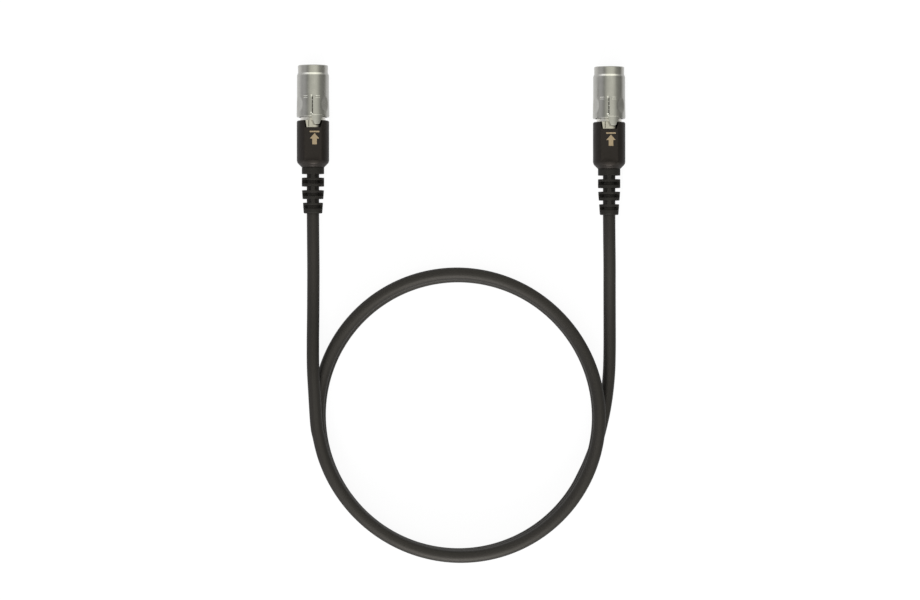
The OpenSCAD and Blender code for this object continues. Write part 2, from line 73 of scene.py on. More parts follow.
def length(name, description, default):
    """A size in metres."""
    return FloatProperty(name=name, description=description, default=default, unit="LENGTH", precision=5)


def colour(name, description, default):
    """A linear colour."""
    return FloatVectorProperty(
        name=name, description=description, default=default, subtype="COLOR", size=3, min=0, max=1
    )


class JacketSizes(bpy.types.PropertyGroup):
    """The round jacket and the way it lies."""

    diameter: length("Diameter", "Outer diameter of the jacket", 6.35 * MM)
    turn_gap: length("Turn gap", "Air between turns that lie on each other", 0.55 * MM)
    loop_radius: length("Loop radius", "Radius of the first turn at the centreline", 72.1 * MM)
    turn_growth: length("Growth", "How much wider each turn lies than the one under it", 0.6 * MM)
    turn_lean: length("Lean", "How far each turn leans toward the plugs", 0.6 * MM)
    turn_oval: length("Oval", "How much more oval each turn lies", 0.3 * MM)
    full_turns: IntProperty(name="Turns", description="Whole turns besides the lower arc", default=2, min=1)
    ripple: length("Ripple", "Height of the faint ribs that the cores press into the jacket", 0.02 * MM)
    swell: length("Swell", "How far the jacket's skin stands out from its nominal radius", 0.05 * MM)
    colour: colour("Colour", "Colour of the jacket", (0.0115, 0.0107, 0.0097))


class SleeveSizes(bpy.types.PropertyGroup):
    """The sliding metal sleeve."""

    radius: length("Radius", "Outer radius in front", 8.3 * MM)
    rear_radius: length("Rear radius", "Outer radius of the rear rim", 8.5 * MM)
    wall: length("Wall", "Thickness of the sleeve", 1.05 * MM)
    straight: length("Straight", "Length in front of the flare", 11.2 * MM)
    tongue: length("Tongue", "Length of the tongue behind the rim", 3.7 * MM)
    bevel: length("Bevel", "Rounding of the sleeve's edges", 0.06 * MM)
    colour: colour("Colour", "Colour of the satin metal", (0.592, 0.585, 0.553))


class MouldingSizes(bpy.types.PropertyGroup):
    """The moulded grip, the strain relief and the direction mark."""

    grip_grain: length("Grip grain", "Fineness of the grip's rounded edges", 0.16 * MM)
    relief_grain: length("Relief grain", "Fineness of the strain relief's rounded edges", 0.13 * MM)
    mark_height: length("Mark height", "Thickness of the printed direction mark", 0.06 * MM)
    grip_colour: colour("Grip colour", "Colour of the moulded grip", (0.005, 0.0045, 0.004))
    relief_colour: colour("Relief colour", "Colour of the strain relief", (0.004, 0.0036, 0.0033))
    mark_colour: colour("Mark colour", "Colour of the direction mark", (0.3, 0.231, 0.139))


class StudioSizes(bpy.types.PropertyGroup):
    """The camera and the floor."""

    camera_height: length("Camera height", "Height of the camera over the table", 1.7)
    millimetres_per_pixel: FloatProperty(
        name="Scale", description="Millimetres of the plugs' plane in one pixel", default=0.52
    )
    floor_size: length("Floor", "Side of the square floor", 6.0)


# ---- making meshes ----

def link(mesh, name, material):
    """An object of that mesh, linked to the scene and finished in one material."""
    obj = bpy.data.objects.new(name, mesh)
    bpy.context.scene.collection.objects.link(obj)
    mesh.materials.append(material)
    return obj


def mesh_from(bm, name, sharp_angle=40):
    """A smooth-shaded mesh of a bmesh, with its sharp edges kept."""
    mesh = bpy.data.meshes.new(name)
    bmesh.ops.recalc_face_normals(bm, faces=bm.faces)
    bm.to_mesh(mesh)
    bm.free()
    mesh.shade_smooth()
    mesh.set_sharp_from_angle(angle=math.radians(sharp_angle))
    return mesh


def apply_modifiers(obj):
    """Writes the modifiers of an object into its mesh."""
    graph = bpy.context.evaluated_depsgraph_get()
    mesh = bpy.data.meshes.new_from_object(obj.evaluated_get(graph), depsgraph=graph)
    old = obj.data
    obj.modifiers.clear()
    obj.data = mesh
    mesh.name = old.name
    bpy.data.meshes.remove(old)


def round_edges(obj, width, angle):
    """Adds a rounding of the edges that turn by more than that angle, in degrees."""
    bevel = obj.modifiers.new("edges", "BEVEL")
    bevel.width = width
    bevel.segments = 2
    bevel.limit_method = "ANGLE"
    bevel.angle_limit = math.radians(angle)


def heading(points, i):
    """The direction of a line of points at one of them."""
    return (points[min(i + 1, len(points) - 1)] - points[max(i - 1, 0)]).normalized()


def skin(bm, rings):
    """Closes rings of points to a tube, and gives the row, the column and the face of each side face."""
    made = []
    for i, (ring, after) in enumerate(zip(rings, rings[1:])):
        for k in range(len(ring)):
            n = (k + 1) % len(ring)
            made.append((i, k, bm.faces.new((ring[k], ring[n], after[n], after[k]))))
    bm.faces.new(rings[0][::-1])
    bm.faces.new(rings[-1])
    return made


def smooth_line(points, step):
    """A smooth line through points, as Catmull and Rom draw it, with a point about every step."""
    ends = [2 * points[0] - points[1], *points, 2 * points[-1] - points[-2]]
    line = []
    for a, b, c, d in zip(ends, ends[1:], ends[2:], ends[3:]):
        count = max(1, round((c - b).length / step))
        for i in range(count):
            t = i / count
            line.append(0.5 * (
                2 * b + (c - a) * t + (2 * a - 5 * b + 4 * c - d) * t**2 + (3 * b - a - 3 * c + d) * t**3
            ))
    line.append(points[-1])
    return line


# ---- materials ----

# The values between which a noise mostly varies
NOISE_LOW, NOISE_HIGH = 0.3, 0.7


class Tree:
    """A node tree under construction."""

    def __init__(self, tree):
        self.tree = tree

    def node(self, kind, **settings):
        made = self.tree.nodes.new(kind)
        for key, value in settings.items():
            setattr(made, key, value)
        return made

    def wire(self, source, target):
        self.tree.links.new(source, target)

    def feed(self, socket, value):
        """Wires another socket to this one, or writes a constant on it."""
        if isinstance(value, bpy.types.NodeSocket):
            self.wire(value, socket)
        else:
            socket.default_value = value

    def combine(self, operation, *terms):
        """The result of a calculation with numbers and sockets."""
        made = self.node("ShaderNodeMath", operation=operation)
        for socket, term in zip(made.inputs, terms):
            self.feed(socket, term)
        return made.outputs["Value"]

    def mix(self, where, first, second):
        """The first colour where that value is 0, the second where it is 1."""
        made = self.node("ShaderNodeMix", data_type="RGBA")
        for place, value in ((0, where), (6, first), (7, second)):
            self.feed(made.inputs[place], value)
        return made.outputs[2]

    def split(self, vector):
        """The parts of a vector, by the names of the axes."""
        made = self.node("ShaderNodeSeparateXYZ")
        self.wire(vector, made.inputs[0])
        return made.outputs

    def ramp(self, value, stops):
        """Eases from one level or colour to the next, by stops of a place and a level."""
        made = self.node("ShaderNodeValToRGB")
        made.color_ramp.interpolation = "EASE"
        elements = made.color_ramp.elements
        while len(elements) < len(stops):
            elements.new(0.5)
        for element, (place, level) in zip(elements, stops):
            element.position = place
            element.color = (*level, 1) if isinstance(level, tuple) else (level, level, level, 1)
        self.wire(value, made.inputs["Fac"])
        return made.outputs["Color"]


class Finish(Tree):
    """A node material under construction, round one Principled shader."""

    def __init__(self, name, base, metallic=0.0, roughness=0.5, specular=0.5):
        self.material = bpy.data.materials.new(name)
        self.material.use_nodes = True
        super().__init__(self.material.node_tree)
        self.shader = self.tree.nodes["Principled BSDF"]
        self.set("Base Color", (*base, 1))
        self.set("Metallic", metallic)
        self.set("Roughness", roughness)
        self.set("Specular IOR Level", specular)
        self.material.diffuse_color = (*base, 1)

    def set(self, socket, value):
        self.shader.inputs[socket].default_value = value

    def coordinates(self, output, scale):
        """Texture coordinates of that kind, stretched by scale."""
        source = self.node("ShaderNodeTexCoord").outputs[output]
        mapping = self.node("ShaderNodeMapping")
        mapping.inputs["Scale"].default_value = scale
        self.wire(source, mapping.inputs["Vector"])
        return mapping.outputs["Vector"]

    def noise(self, vector, scale, detail=3.0, roughness=0.5):
        made = self.node("ShaderNodeTexNoise")
        made.inputs["Scale"].default_value = scale
        made.inputs["Detail"].default_value = detail
        made.inputs["Roughness"].default_value = roughness
        self.wire(vector, made.inputs["Vector"])
        return made.outputs["Fac"]

    def spread(self, value, low, high, low_in=NOISE_LOW, high_in=NOISE_HIGH):
        """Maps a value that varies from low_in to high_in onto low to high."""
        made = self.node("ShaderNodeMapRange")
        for key, number in (("From Min", low_in), ("From Max", high_in), ("To Min", low), ("To Max", high)):
            made.inputs[key].default_value = number
        self.wire(value, made.inputs["Value"])
        return made.outputs["Result"]

    def shade(self, value, dark, light):
        """Varies the base colour between two shares of itself."""
        base = self.shader.inputs["Base Color"].default_value
        ramp = self.node("ShaderNodeValToRGB")
        for element, share, place in zip(ramp.color_ramp.elements, (dark, light), (NOISE_LOW, NOISE_HIGH)):
            element.position = place
            element.color = (*(c * share for c in base[:3]), 1)
        self.wire(value, ramp.inputs["Fac"])
        self.wire(ramp.outputs["Color"], self.shader.inputs["Base Color"])

    def roughen(self, value, low, high):
        self.wire(self.spread(value, low, high), self.shader.inputs["Roughness"])

    def bump(self, *layers):
        """Adds bumps, each given as a value and a height in metres."""
        normal = None
        for value, height in layers:
            made = self.node("ShaderNodeBump")
            made.inputs["Strength"].default_value = 1
            made.inputs["Distance"].default_value = height
            self.wire(value, made.inputs["Height"])
            if normal is not None:
                self.wire(normal, made.inputs["Normal"])
            normal = made.outputs["Normal"]
        self.wire(normal, self.shader.inputs["Normal"])


def jacket_rubber(base):
    """Matt extruded jacket with faint lengthwise draw lines and a fine grain."""
    finish = Finish("jacket_rubber", base, roughness=0.55, specular=0.42)
    finish.set("Specular Tint", (1.0, 0.93, 0.86, 1))
    lines = finish.noise(finish.coordinates("UV", (6, 26, 1)), 1.0, 2.0)
    grain = finish.noise(finish.coordinates("Object", (1, 1, 1)), 4200, 2.0)
    clouds = finish.noise(finish.coordinates("UV", (30, 2, 1)), 1.0, 3.0)
    finish.shade(clouds, 0.92, 1.08)
    finish.roughen(lines, 0.5, 0.62)
    finish.bump((lines, 0.02 * MM), (grain, 0.008 * MM))
    return finish.material


def moulded_plastic(base):
    """Satin black moulding with a fine spark-eroded grain."""
    finish = Finish("moulded_plastic", base, roughness=0.47, specular=0.4)
    finish.set("Specular Tint", (1.0, 0.87, 0.8, 1))
    place = finish.coordinates("Object", (1, 1, 1))
    grain = finish.noise(place, 5200, 2.0)
    clouds = finish.noise(place, 180, 3.0)
    finish.shade(clouds, 0.9, 1.1)
    finish.roughen(clouds, 0.42, 0.52)
    finish.bump((grain, 0.008 * MM))
    return finish.material


def relief_rubber(base):
    """Soft matt rubber with a coarser grain than the grip's."""
    finish = Finish("relief_rubber", base, roughness=0.66, specular=0.4)
    finish.set("Specular Tint", (1.0, 0.95, 0.88, 1))
    place = finish.coordinates("Object", (1, 1, 1))
    grain = finish.noise(place, 2600, 4.0, 0.65)
    clouds = finish.noise(place, 420, 3.0)
    finish.shade(clouds, 0.8, 1.25)
    finish.roughen(clouds, 0.6, 0.75)
    finish.bump((grain, 0.03 * MM))
    return finish.material


# How the noise of the turning lines is stretched: rings round the plug's axis, which lies along Y
TURNING = (60, 9000, 60)


class SatinMetal(Finish):
    """Plated metal with fine turning lines round the plug's axis and a slight cloudiness."""

    def __init__(self, name, base, low, high, turned):
        super().__init__(name, base, metallic=1.0, roughness=(low + high) / 2)
        lines = self.noise(self.coordinates("Object", TURNING), 1.0, 2.0)
        self.place = self.coordinates("Object", (1, 1, 1))
        clouds = self.noise(self.place, 260, 3.0)
        self.shade(clouds, 0.95, 1.04)
        self.roughen(clouds, low, high)
        self.bump((lines, turned))


# Where the shells' painted shade and painted highlight change, in millimetres behind the nose tip: under the
# sleeve's front edge, under its rim, at the end of the painted shadow band on the wings behind the rim and
# at the end of the ring with the painted highlight
SLEEVE_FRONT, SLEEVE_RIM, SHADOW_BAND_END, RING_END = 4.35, 26.8, 27.35, 28.6
# Between these heights over the table, in millimetres, the painted shade, or on the ring the painted
# highlight, gives way to the clamp wings' own colour
WINGS_LOW, WINGS_HIGH = 14.6, 15.2
# Half the length of each change along the plug
FADE = 0.1 * MM
# The colours of the painted shade, and of the painted highlight on the ring beside the wings
PAINTED_SHADE = (0.14, 0.133, 0.12, 1)
RING_HIGHLIGHT = (0.96, 0.94, 0.88, 1)


class ShellMetal(SatinMetal):
    """Satin metal of a shell, whose colour changes with the place on the plug for painted shade and painted
    highlights.
    """

    def __init__(self, *settings):
        super().__init__(*settings)
        left, right = (plug_matrix(side).translation for side in SIDES)
        fall = (left.y - right.y) / (right.x - left.x)
        self.tip = left.y + fall * left.x
        self.parts = self.split(self.place)
        self.along = self.combine("MULTIPLY_ADD", self.parts["X"], fall, self.parts["Y"])

    def before(self, back):
        """1 nearer to the nose than that place along the plug, else 0."""
        y = self.tip - back * MM
        return self.spread(self.along, 0, 1, y - FADE, y + FADE)

    def higher(self, low, high):
        """1 above high over the table and 0 below low."""
        return self.spread(self.parts["Z"], 0, 1, low * MM, high * MM)

    def cover(self, where, colour):
        """Lays another colour over the metal where that value is 1."""
        base = self.shader.inputs["Base Color"]
        self.wire(self.mix(where, base.links[0].from_socket, colour), base)


def plated_metal(base):
    """Plated metal of the nose shell, with painted shade where the sleeve rides on it."""
    finish = ShellMetal("plated_metal", base, 0.16, 0.24, 0.0012 * MM)
    # Painted shade on the shell behind the sleeve's front edge, under the sleeve
    finish.cover(finish.combine("SUBTRACT", 1, finish.before(SLEEVE_FRONT)), PAINTED_SHADE)
    return finish.material


def drawn_metal(base):
    """Matt drawn metal with a painted highlight on the ring beside the wings, and painted shade in its
    grooves, under the sleeve and as a shadow band on the wings behind the rim.
    """
    finish = ShellMetal("drawn_metal", base, 0.26, 0.36, 0.002 * MM)
    wings, ring = finish.higher(WINGS_LOW, WINGS_HIGH), finish.before(RING_END)
    # A painted shadow band on the wings just behind the sleeve's rim
    shaded = finish.combine("MULTIPLY", wings, finish.before(SHADOW_BAND_END))
    # Painted shade under the sleeve and in that shadow band
    shadowed = finish.combine("MAXIMUM", finish.before(SLEEVE_RIM), shaded)
    bright = finish.combine("SUBTRACT", finish.combine("MAXIMUM", wings, ring), shadowed)
    # A painted highlight: a much lighter colour on the ring where it lies lower than the wings
    finish.cover(finish.combine("SUBTRACT", ring, wings), RING_HIGHLIGHT)
    # Painted shade: a dark colour over all but the wings and the ring, and over the shaded parts
    finish.cover(finish.combine("SUBTRACT", 1, bright), PAINTED_SHADE)
    return finish.material


def gold():
    """Bright gold plating of the contacts."""
    finish = Finish("contact_metal", (0.83, 0.60, 0.24), metallic=1.0, roughness=0.22)
    wear = finish.noise(finish.coordinates("Object", (1, 1, 1)), 1500, 3.0)
    finish.shade(wear, 0.88, 1.05)
    finish.roughen(wear, 0.16, 0.3)
    return finish.material


def insulator_plastic():
    """Dense dark plastic of the contact insert."""
    finish = Finish("insulator_plastic", (0.022, 0.022, 0.023), roughness=0.4)
    grain = finish.noise(finish.coordinates("Object", (1, 1, 1)), 3000, 2.0)
    finish.roughen(grain, 0.35, 0.5)
    finish.bump((grain, 0.006 * MM))
    return finish.material


def wire_insulation():
    """Smooth coloured insulation of the conductors."""
    finish = Finish("wire_insulation", (0.33, 0.045, 0.035), roughness=0.35)
    clouds = finish.noise(finish.coordinates("Object", (1, 1, 1)), 900, 2.0)
    finish.shade(clouds, 0.9, 1.1)
    finish.roughen(clouds, 0.3, 0.42)
    return finish.material


def mark_paint(base):
    """Opaque pad-printed ink."""
    finish = Finish("mark_paint", base, roughness=0.55, specular=0.3)
    grain = finish.noise(finish.coordinates("Object", (1, 1, 1)), 6000, 3.0)
    finish.shade(grain, 0.86, 1.06)
    finish.bump((grain, 0.006 * MM))
    return finish.material


# ---- where a plug lies ----

# How far each plug is turned on its axis, in degrees to the right as seen from above
PLUG_TURN = {"left": 2, "right": -2}


def plug_matrix(side):
    """From a plug's own across, up and back to the frame."""
    low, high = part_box(f"{side}_nose_shell")
    tip = Vector(((low.x + high.x) / 2, high.y, (low.z + high.z) / 2))
    roll = Matrix.Rotation(-math.radians(PLUG_TURN[side]), 4, "Z")
    return Matrix.Translation(tip) @ Matrix.Rotation(math.radians(90), 4, "X") @ roll


def back_of(side, y):
    """How far behind the nose tip a place of the frame lies."""
    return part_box(f"{side}_nose_shell")[1].y - y


# ---- the jacket's route ----

# Height of the plugs' axes over the table
AXIS_HEIGHT = 8.5 * MM
# How far behind the strain relief's front end the jacket begins
JACKET_INSET = 3.5 * MM
# Free stretches from strain relief to loops, in millimetres: x, y and the share of the way from the
# plug's height to the height at which the loops take the jacket
RIGHT_LEG = [
    (77.1, -52, 0.03), (77.3, -65, 0.3), (77.4, -79, 0.72), (77.5, -94, 0.97),
    (77.5, -109, 1), (77.1, -122, 1), (75.7, -135.2, 1), (73.4, -147.2, 1), (70.3, -158.7, 1),
]
LEFT_LEG = [
    (-76.9, -52, 0), (-76.8, -65, -0.02), (-76.8, -79, 0.04), (-76.8, -92, 0.25),
    (-76.8, -105, 0.62), (-76.6, -118, 0.93), (-75.9, -131, 1),
]
LOOP_CENTRE = (-1.4, -143.65)
# Where the right leg joins the loops and the left one leaves them, in degrees from +X
LOOP_START, LOOP_END = -24, -172
# The long axis of the oval, and where each turn begins to climb and how far it climbs on, in degrees
OVAL_ANGLE = -52
CLIMB_START, CLIMB_SWEEP = 50, 60
POINTS_PER_LOOP = 48
ROUTE_STEP = 2.2 * MM


def ease(u):
    """A smooth step from 0 to 1."""
    c = min(max(u, 0), 1)
    return c * c * (3 - 2 * c)


def loop_point(jacket, sweep):
    """A point of the loops, sweep degrees on from where the right leg joins them."""
    angle = math.radians(LOOP_START - sweep)
    shape = jacket.turn_growth + jacket.turn_lean * math.sin(angle)
    shape += jacket.turn_oval * math.cos(2 * (angle - math.radians(OVAL_ANGLE)))
    r = jacket.loop_radius + sweep / 360 * shape
    level = sum(
        ease((sweep - 360 * k - LOOP_START + CLIMB_START) / CLIMB_SWEEP)
        for k in range(1, jacket.full_turns + 1)
    )
    return Vector((
        LOOP_CENTRE[0] * MM + r * math.cos(angle),
        LOOP_CENTRE[1] * MM + r * math.sin(angle),
        jacket.diameter / 2 + level * (jacket.diameter + jacket.turn_gap),
    ))


def leg_route(side, leg, joint):
    """The points of a leg, from inside the strain relief to where the loops take it."""
    low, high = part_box(f"{side}_strain_relief")
    x = (low.x + high.x) / 2
    inside = [Vector((x, y, AXIS_HEIGHT)) for y in (high.y - JACKET_INSET, (low.y + high.y) / 2, low.y)]
    drop = joint.z - AXIS_HEIGHT
    return inside + [Vector((x * MM, y * MM, AXIS_HEIGHT + share * drop)) for x, y, share in leg] + [joint]


def jacket_route(jacket):
    """The whole centreline, from the right strain relief to the left one."""
    sweep = jacket.full_turns * 360 + LOOP_START - LOOP_END
    count = round(sweep * POINTS_PER_LOOP / 360)
    loops = [loop_point(jacket, i * sweep / count) for i in range(count + 1)]
    first = loops[0] - jacket.diameter * (loop_point(jacket, 1) - loops[0]).normalized()
    last = loops[-1] + jacket.diameter * (loops[-1] - loop_point(jacket, sweep - 1)).normalized()
    right = leg_route("right", RIGHT_LEG, first)
    left = leg_route("left", LEFT_LEG, last)
    return smooth_line(right + loops + left[::-1], ROUTE_STEP)


# ---- operators ----

class LEAD_OT_studio(bpy.types.Operator):
    """Sets up the camera, the pale floor and the soft light"""

    bl_idname = "lead.studio"
    bl_label = "Studio"

    def execute(self, context):
        studio = context.scene.lead_studio
        make_camera(context, studio)
        make_floor(studio)
        make_world(context)
        make_lamps()
        return {"FINISHED"}


# The picture's width in pixels, the place below the camera and the width of its sensor in millimetres
PICTURE_WIDTH = 920
VIEW_CENTRE = (-0.55 * MM, -83.09 * MM)
SENSOR = 36.0


def make_camera(context, studio):
    """A camera straight above, whose frame has the scale that the studio names at the plugs' plane."""
    data = bpy.data.cameras.new("camera")
    data.sensor_width = SENSOR
    seen = studio.millimetres_per_pixel * MM * PICTURE_WIDTH
    data.lens = SENSOR * (studio.camera_height - AXIS_HEIGHT) / seen
    data.clip_end = 20
    camera = bpy.data.objects.new("camera", data)
    camera.location = (*VIEW_CENTRE, studio.camera_height)
    context.scene.collection.objects.link(camera)
    context.scene.camera = camera


# How brightly the floor glows for the camera, and how much of what it sees of the floor is that glow
FLOOR_GLOW, FLOOR_SHARE = 1.03, 0.88


def make_floor(studio):
    """A plain white floor, which keeps a little of the object's shadow in the camera's view."""
    bm = bmesh.new()
    bmesh.ops.create_grid(bm, x_segments=1, y_segments=1, size=studio.floor_size / 2)
    finish = Finish("floor_paper", (0.9, 0.9, 0.9), roughness=0.9, specular=0.1)
    paper = finish.noise(finish.coordinates("Object", (1, 1, 1)), 900, 2.0)
    finish.bump((paper, 0.01 * MM))
    rays = finish.node("ShaderNodeLightPath").outputs
    glow = finish.node("ShaderNodeEmission")
    glow.inputs["Strength"].default_value = FLOOR_GLOW
    clear = finish.node("ShaderNodeBsdfTransparent")
    share = finish.combine("MULTIPLY", rays["Is Camera Ray"], FLOOR_SHARE)
    shown = finish.shader.outputs["BSDF"]
    for part, over in ((rays["Is Glossy Ray"], clear.outputs["BSDF"]), (share, glow.outputs["Emission"])):
        mix = finish.node("ShaderNodeMixShader")
        for socket, source in zip(mix.inputs, (part, shown, over)):
            finish.wire(source, socket)
        shown = mix.outputs["Shader"]
    finish.wire(shown, finish.tree.nodes["Material Output"].inputs["Surface"])
    floor = link(mesh_from(bm, "floor"), "floor", finish.material)


# Brightness of the studio as the pieces mirror it, against the angle from the zenith toward +X
ACROSS = (
    (-170, 0.76), (-145, 0.76), (-122, 0.71), (-108, 0.64), (-96, 0.54), (-84, 0.46), (-64, 0.47),
    (-52, 0.4), (-42, 0.31), (-34, 0.33), (-25, 0.5), (-12, 0.63), (2, 0.69), (14, 0.73),
    (28, 0.685), (40, 0.53), (52, 0.33), (63, 0.265), (78, 0.23), (94, 0.2), (103, 0.36),
    (118, 0.61), (136, 0.68), (160, 0.74),
)
# The same lengthwise, added to it: against the share of the direction that points toward +Y or -Y
TOWARD_NOSE = ((0.25, 0.0), (0.5, 0.2), (0.64, 0.3), (0.71, 1.45), (0.76, 0.9), (0.84, 0.2), (1.0, 0.0))
TOWARD_LOOPS = ((0.3, 0.0), (0.45, 0.6), (0.56, 1.2), (0.68, 1.2), (0.82, 0.3), (1.0, 0.0))
# How much of the light toward the ends is left, against the height: 0 straight down, 1 straight up
HORIZON = ((0.38, 0.0), (0.52, 1.0))
# The tint of what is mirrored, against the same angle as ACROSS
TINT = (
    (-60, (1.0, 1.0, 1.0)), (-20, (0.995, 1.0, 0.9)), (40, (0.995, 1.0, 0.9)),
    (95, (1.0, 1.0, 0.93)), (120, (1.0, 1.0, 1.0)),
)
# Brightness of the studio as it lights matt surfaces
DIFFUSE_LEVEL = 0.62


def by_angle(stops):
    """Stops at angles from the zenith, in degrees, as stops at shares of the whole turn."""
    return [(0.5 + degrees / 360, level) for degrees, level in stops]


def make_world(context):
    """Even light all round, a white surround for the camera and soft boxes for what mirrors them."""
    world = bpy.data.worlds.new("studio")
    context.scene.world = world
    world.use_nodes = True
    sky = Tree(world.node_tree)
    background = sky.tree.nodes["Background"].inputs
    rays = sky.node("ShaderNodeLightPath").outputs

    def instead(level, other, ray):
        """Another level for the rays of one kind."""
        return sky.combine("MULTIPLY_ADD", rays[ray], sky.combine("SUBTRACT", other, level), level)

    parts = sky.split(sky.node("ShaderNodeTexCoord").outputs["Generated"])
    angle = sky.combine("MULTIPLY_ADD", sky.combine("ARCTAN2", parts["X"], parts["Z"]), 0.5 / math.pi, 0.5)
    height = sky.combine("MULTIPLY_ADD", parts["Z"], 0.5, 0.5)
    loops = sky.ramp(sky.combine("MULTIPLY", parts["Y"], -1), TOWARD_LOOPS)
    ends = sky.combine("ADD", sky.ramp(parts["Y"], TOWARD_NOSE), loops)
    ends = sky.combine("MULTIPLY", ends, sky.ramp(height, HORIZON))
    mirrored = sky.combine("ADD", sky.ramp(angle, by_angle(ACROSS)), ends)
    level = instead(instead(DIFFUSE_LEVEL, mirrored, "Is Glossy Ray"), 1, "Is Camera Ray")
    sky.wire(level, background["Strength"])
    tint = sky.mix(rays["Is Glossy Ray"], (1, 1, 1, 1), sky.ramp(angle, by_angle(TINT)))
    sky.wire(tint, background["Color"])


# The lamps: name, place, size, power and whether metal mirrors it. One is broad and overhead, one stands
# low in front of the loops
LAMPS = (
    ("overhead_box", (-0.2, -0.1, 1.3), 1.0, 7.0, False),
    ("front_box", (0.0, -1.2, 0.6), 0.6, 13.0, True),
)
LAMP_AIM = (0, -0.09, 0)


def make_lamps():
    """Square soft boxes, turned toward the middle of the object."""
    for name, place, size, power, mirrored in LAMPS:
        data = bpy.data.lights.new(name, "AREA")
        data.shape = "SQUARE"
        data.size = size
        data.energy = power
        lamp = bpy.data.objects.new(name, data)
        lamp.location = place
        lamp.rotation_euler = (Vector(LAMP_AIM) - Vector(place)).to_track_quat("-Z", "Y").to_euler()
        lamp.visible_glossy = mirrored
        bpy.context.scene.collection.objects.link(lamp)


class LEAD_OT_jacket(bpy.types.Operator):
    """Lays the jacket in its loops, as one tube from strain relief to strain relief"""

    bl_idname = "lead.jacket"
    bl_label = "Jacket"

    def execute(self, context):
        sizes = context.scene.lead_jacket
        route = jacket_route(sizes)
        jacket = link(jacket_mesh(route, sizes), "jacket", jacket_rubber(sizes.colour))
        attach(jacket, "root")
        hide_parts("left_cable_leg", "cable_loops", "right_cable_leg")
        return {"FINISHED"}


JACKET_SIDES, JACKET_RIBS = 48, 8
# The length over which a rib winds on to the place of the next one, in metres
RIB_LAY = 0.11


def jacket_mesh(route, sizes):
    """The jacket as a closed ribbed tube, with length and girth as UV. Its seam lies underneath."""
    travelled = [0.0]
    for a, b in zip(route, route[1:]):
        travelled.append(travelled[-1] + (b - a).length)
    bm = bmesh.new()
    uv = bm.loops.layers.uv.new("along")
    rings = []
    for i, centre in enumerate(route):
        along = heading(route, i)
        side = along.cross(Vector((0, 0, 1))).normalized()
        rise = side.cross(along)
        ring = []
        for k in range(JACKET_SIDES):
            turn = 2 * math.pi * k / JACKET_SIDES - math.pi / 2
            wave = math.cos(JACKET_RIBS * turn + 2 * math.pi * travelled[i] / RIB_LAY)
            reach = sizes.diameter / 2 + sizes.swell + sizes.ripple / 2 * wave
            ring.append(bm.verts.new(centre + reach * (math.cos(turn) * side + math.sin(turn) * rise)))
        rings.append(ring)
    for i, k, face in skin(bm, rings):
        marks = ((i, k), (i, k + 1), (i + 1, k + 1), (i + 1, k))
        for loop, (row, column) in zip(face.loops, marks):
            loop[uv].uv = (travelled[row], column / JACKET_SIDES)
    return mesh_from(bm, "jacket", sharp_angle=60)


class LEAD_OT_sleeves(bpy.types.Operator):
    """Makes the two locking sleeves with their dimples, seam, pressed windows and tongue"""

    bl_idname = "lead.sleeves"
    bl_label = "Locking sleeves"

    def execute(self, context):
        sizes = context.scene.lead_sleeve
        metal = SatinMetal("brushed_metal", sizes.colour, 0.16, 0.24, 0.0012 * MM).material
        for side in SIDES:
            low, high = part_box(f"{side}_locking_sleeve")
            mesh = sleeve_mesh(sizes, back_of(side, high.y), back_of(side, low.y), f"{side}_sleeve")
            mesh.transform(plug_matrix(side))
            sleeve = link(mesh, f"{side}_sleeve", metal)
            round_edges(sleeve, sizes.bevel, 50)
            apply_modifiers(sleeve)
            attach(sleeve, f"{side}_sleeve")
            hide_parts(f"{side}_locking_sleeve")
        return {"FINISHED"}


# Features of the sleeve, in millimetres and degrees. A cut is given by where it begins and ends to the right
# of the seam, and where it begins and ends behind the nose tip
LIP_START, LIP_END, LIP_RADIUS = 12.0, 13.0, 6.3
# The thin front edge reaches over the ring's rear edge, and the inside begins a little behind it
FRONT_REACH, FRONT_LENGTH, FRONT_DROP = 0.35, 1.15, 0.47
FRONT_BORE, FRONT_BORE_REACH = 7.81, 0.15
# The rear rim: distance from its end and how much lower it lies, and the same where the tongue goes on
RIM = ((0.0, 0.45), (0.12, 0.16), (0.8, 0.0))
TONGUE_RIM = ((0.8, 0.15), (1.3, 0.0))
# Where the seam and the dimples' pattern lie, in degrees from the top toward the left
SEAM_TURN, SLEEVE_TURN = 2, 5
SEAM = (-0.18, 0.38, 16.5, 25.3)
SEAM_LIP_REACH, SEAM_LIP = 1.3, 0.04
# Pits beside the ends of the seam, each a cut and how deep its middle lies
CORNERS = ((-0.85, -0.18, 15.5, 16.85, 0.2), (-1.15, -0.18, 24.6, 25.1, 0.1))
WINDOW_MIDDLE, WINDOW_AWAY, WINDOW_HALF = -0.39, 3.2, 1.05
WINDOWS = [
    (middle - WINDOW_HALF, middle + WINDOW_HALF, 16.2, 17.0)
    for middle in (WINDOW_MIDDLE - WINDOW_AWAY, WINDOW_MIDDLE + WINDOW_AWAY)
]
WINDOW_DEPTH = 0.4
WINDOW_REACH, WINDOW_DROP = 0.35, 0.11
DIMPLE_TURNS = (54, 126, 234, 306)
DIMPLE_MID, DIMPLE_LENGTH, DIMPLE_DEPTH = 20.3, 7.9, 0.5
# A dimple reaches round to where the wall faces 60 degrees away from it, as a cosine
DIMPLE_FACING = 0.5
# The left and right edges of the tongue, to the right of the plug's top
TONGUE_ROOT, TONGUE_TIP = (-0.5, 4.7), (0.75, 3.45)
TONGUE_CORNER, TONGUE_TIP_ROUNDING, TONGUE_TIP_DROP = 0.3, 0.5, 0.08
SLEEVE_COLUMNS, SLEEVE_ROW = 120, 0.5
WALL_STEP = 0.03
ROUNDING_SHARES = (0, 0.25, 0.5, 0.75, 1)


def rounded(distance, reach, drop):
    """How much lower a rounded edge lies at that distance from it."""
    return drop * max(0, 1 - distance / reach) ** 2


def between(distance, profile):
    """The drop that a profile of places and drops gives at that distance."""
    for (near, low), (far, high) in zip(profile, profile[1:]):
        if distance < far:
            return low + (high - low) * max(0, distance - near) / (far - near)
    return profile[-1][1]


